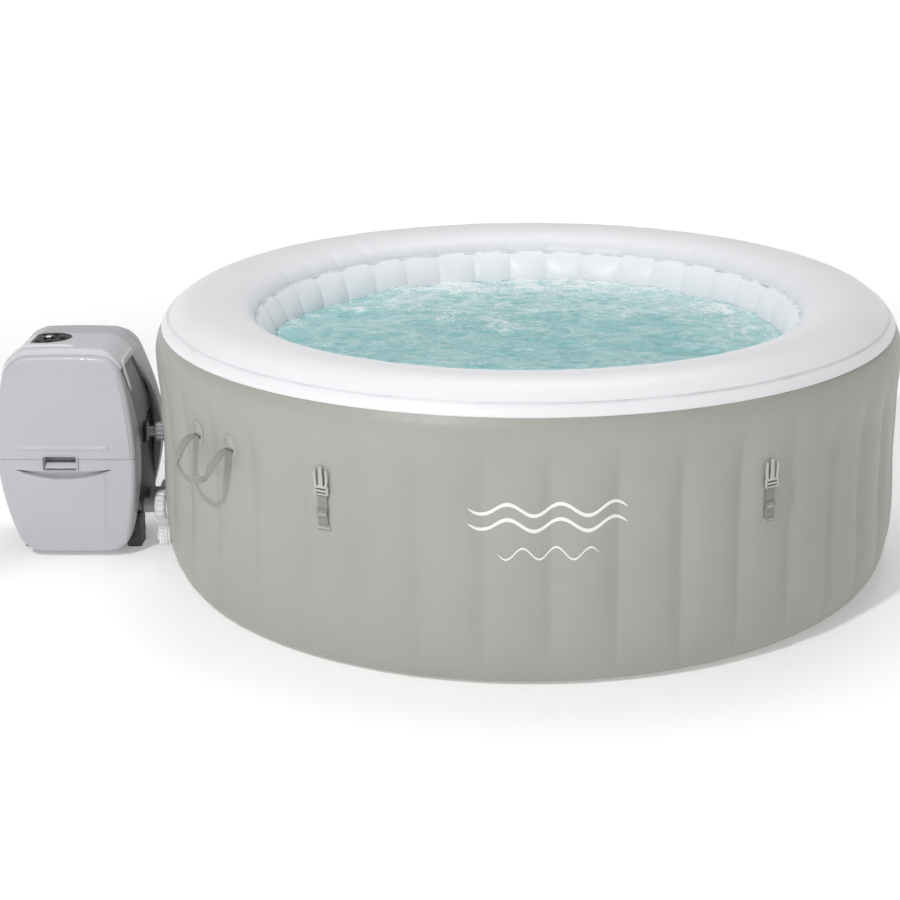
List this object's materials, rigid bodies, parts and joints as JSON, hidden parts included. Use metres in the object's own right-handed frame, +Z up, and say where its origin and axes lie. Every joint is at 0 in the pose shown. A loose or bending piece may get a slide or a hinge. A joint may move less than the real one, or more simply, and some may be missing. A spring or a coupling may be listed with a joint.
{
  "type": "inflatable hot tub",
  "caption": "Round inflatable hot tub with a padded ring wall, rim, carry handles, cover straps and buckles, and a free-standing pump, heater and air blower unit coupled by pipes.",
  "frame": {"origin": "on the floor at the tub's vertical axis", "axes": "+Z up; the pump unit stands at -X; its front cover faces -Y"},
  "size_m": [2.1884, 1.8008, 0.6598],
  "materials": {
    "rim_sheet": "satin laminated sheet",
    "wall_sheet": "satin laminated sheet",
    "liner_sheet": "satin laminated sheet",
    "floor_sheet": "embossed sheet",
    "webbing": "woven webbing",
    "patch": "welded sheet",
    "buckle_plastic": "moulded",
    "white_fitting": "moulded",
    "gasket": "moulded rubber",
    "filter_media": "pleated paper",
    "shell_grey": "fine moulded texture",
    "side_grey": "fine moulded texture",
    "dark_grey": "fine moulded texture",
    "panel_black": "glossy overlay",
    "key_white": "satin",
    "key_grey": "satin",
    "pipe_grey": "moulded",
    "inner_plastic": "moulded",
    "motor_metal": "cast",
    "steel": "brushed",
    "board": "soldered board",
    "foot_rubber": "moulded rubber"
  },
  "bodies": {
    "tub": {"floor_sheet": "floor_sheet", "outer_wall": "wall_sheet", "top_ring": "rim_sheet", "inner_wall": "liner_sheet", "wall_baffles": "liner_sheet", "bubble_channel": "liner_sheet", "wall_patches": "patch", "water_inlet_port": "white_fitting", "water_outlet_port": "white_fitting", "air_port": "white_fitting", "port_gaskets": "gasket", "debris_screen": "white_fitting", "drain_valve": "white_fitting", "air_valve": "white_fitting", "front_cover_upper": "shell_grey", "front_cover_lower": "shell_grey", "rear_cover": "shell_grey", "roof_cap": "shell_grey", "side_panels": "side_grey", "base_frame": "dark_grey", "grip_recess": "shell_grey", "feet": "foot_rubber", "cover_screws": "steel", "control_panel": "panel_black", "display": "key_white", "pump_pipes": "pipe_grey", "pump_housing": "inner_plastic", "pump_motor": "motor_metal", "heater": "steel", "blower_housing": "inner_plastic", "control_board": "board", "cable_gland": "inner_plastic"},
    "handle_1": {"handle_strap_1": "webbing"},
    "handle_2": {"handle_strap_2": "webbing"},
    "strap_1": {"cover_strap_1": "webbing"},
    "clip_1": {"buckle_1": "buckle_plastic"},
    "strap_2": {"cover_strap_2": "webbing"},
    "clip_2": {"buckle_2": "buckle_plastic"},
    "strap_3": {"cover_strap_3": "webbing"},
    "clip_3": {"buckle_3": "buckle_plastic"},
    "strap_4": {"cover_strap_4": "webbing"},
    "clip_4": {"buckle_4": "buckle_plastic"},
    "strap_5": {"cover_strap_5": "webbing"},
    "clip_5": {"buckle_5": "buckle_plastic"},
    "strap_6": {"cover_strap_6": "webbing"},
    "clip_6": {"buckle_6": "buckle_plastic"},
    "inlet_nut": {"inlet_nut": "white_fitting"},
    "outlet_nut": {"outlet_nut": "white_fitting"},
    "air_nut": {"air_nut": "white_fitting"},
    "drain_cap": {"drain_cap": "white_fitting"},
    "air_valve_cap": {"air_valve_cap": "white_fitting"},
    "filter": {"filter_housing": "white_fitting", "filter_cartridge": "filter_media"},
    "impeller": {"impeller": "inner_plastic"},
    "blower_fan": {"blower_fan": "inner_plastic"},
    "key_1": {"button_1": "key_grey"},
    "key_2": {"button_2": "key_grey"},
    "key_3": {"button_3": "key_grey"},
    "key_4": {"button_4": "key_grey"},
    "key_5": {"button_5": "key_grey"}
  },
  "joints": [
    {"name": "handle_swing_1", "type": "hinge", "parent": "tub", "child": "handle_1", "pos_m": [-0.6933, -0.57661, 0.445], "axis": [0.6394, -0.7688, 0], "range_deg": [-55, 20]},
    {"name": "handle_swing_2", "type": "hinge", "parent": "tub", "child": "handle_2", "pos_m": [0.6933, 0.57661, 0.445], "axis": [-0.6394, 0.7688, 0], "range_deg": [-55, 20]},
    {"name": "strap_fold_1", "type": "hinge", "parent": "tub", "child": "strap_1", "pos_m": [-0.42894, -0.79001, 0.3345], "axis": [0.8788, -0.4772, 0], "range_deg": [0, 150]},
    {"name": "buckle_slide_1", "type": "slide", "parent": "strap_1", "child": "clip_1", "axis": [0, 0, 1], "range_m": [-0.03, 0.012]},
    {"name": "strap_fold_2", "type": "hinge", "parent": "tub", "child": "strap_2", "pos_m": [0.50917, -0.74085, 0.3345], "axis": [0.8241, 0.5664, 0], "range_deg": [0, 150]},
    {"name": "buckle_slide_2", "type": "slide", "parent": "strap_2", "child": "clip_2", "axis": [0, 0, 1], "range_m": [-0.03, 0.012]},
    {"name": "strap_fold_3", "type": "hinge", "parent": "tub", "child": "strap_3", "pos_m": [0.89126, 0.11734, 0.3345], "axis": [-0.1305, 0.9914, 0], "range_deg": [0, 150]},
    {"name": "buckle_slide_3", "type": "slide", "parent": "strap_3", "child": "clip_3", "axis": [0, 0, 1], "range_m": [-0.03, 0.012]},
    {"name": "strap_fold_4", "type": "hinge", "parent": "tub", "child": "strap_4", "pos_m": [0.42894, 0.79001, 0.3345], "axis": [-0.8788, 0.4772, 0], "range_deg": [0, 150]},
    {"name": "buckle_slide_4", "type": "slide", "parent": "strap_4", "child": "clip_4", "axis": [0, 0, 1], "range_m": [-0.03, 0.012]},
    {"name": "strap_fold_5", "type": "hinge", "parent": "tub", "child": "strap_5", "pos_m": [-0.50917, 0.74085, 0.3345], "axis": [-0.8241, -0.5664, 0], "range_deg": [0, 150]},
    {"name": "buckle_slide_5", "type": "slide", "parent": "strap_5", "child": "clip_5", "axis": [0, 0, 1], "range_m": [-0.03, 0.012]},
    {"name": "strap_fold_6", "type": "hinge", "parent": "tub", "child": "strap_6", "pos_m": [-0.89864, 0.02353, 0.3345], "axis": [-0.0262, -0.9997, 0], "range_deg": [0, 30]},
    {"name": "buckle_slide_6", "type": "slide", "parent": "strap_6", "child": "clip_6", "axis": [0, 0, 1], "range_m": [-0.03, 0.012]},
    {"name": "inlet_nut_turn", "type": "hinge", "parent": "tub", "child": "inlet_nut", "pos_m": [-0.918, -0.041, 0.11], "axis": [-1, 0, 0], "range_deg": [0, 540]},
    {"name": "outlet_nut_turn", "type": "hinge", "parent": "tub", "child": "outlet_nut", "pos_m": [-0.918, 0.041, 0.11], "axis": [-1, 0, 0], "range_deg": [0, 540]},
    {"name": "air_nut_turn", "type": "hinge", "parent": "tub", "child": "air_nut", "pos_m": [-0.918, 0, 0.29], "axis": [-1, 0, 0], "range_deg": [0, 540]},
    {"name": "drain_cap_turn", "type": "hinge", "parent": "tub", "child": "drain_cap", "pos_m": [-0.86994, -0.24945, 0.108], "axis": [-0.9613, -0.2756, 0], "range_deg": [0, 540]},
    {"name": "air_valve_cap_turn", "type": "hinge", "parent": "tub", "child": "air_valve_cap", "pos_m": [-0.63993, 0.63993, 0.415], "axis": [-0.7071, 0.7071, 0], "range_deg": [0, 540]},
    {"name": "filter_pull", "type": "slide", "parent": "tub", "child": "filter", "axis": [1, 0, 0], "range_m": [0, 0.08]},
    {"name": "impeller_spin", "type": "hinge", "parent": "tub", "child": "impeller", "pos_m": [-1.073, -0.041, 0.11], "axis": [-1, 0, 0], "continuous": true},
    {"name": "fan_spin", "type": "hinge", "parent": "tub", "child": "blower_fan", "pos_m": [-1.1, 0, 0.306], "axis": [0, 1, 0], "continuous": true},
    {"name": "button_press_1", "type": "slide", "parent": "tub", "child": "key_1", "axis": [0, 0, -1], "range_m": [0, 0.0007], "stiffness_N_per_m": 800},
    {"name": "button_press_2", "type": "slide", "parent": "tub", "child": "key_2", "axis": [0, 0, -1], "range_m": [0, 0.0007], "stiffness_N_per_m": 800},
    {"name": "button_press_3", "type": "slide", "parent": "tub", "child": "key_3", "axis": [0, 0, -1], "range_m": [0, 0.0007], "stiffness_N_per_m": 800},
    {"name": "button_press_4", "type": "slide", "parent": "tub", "child": "key_4", "axis": [0, 0, -1], "range_m": [0, 0.0007], "stiffness_N_per_m": 800},
    {"name": "button_press_5", "type": "slide", "parent": "tub", "child": "key_5", "axis": [0, 0, -1], "range_m": [0, 0.0007], "stiffness_N_per_m": 800}
  ]
}
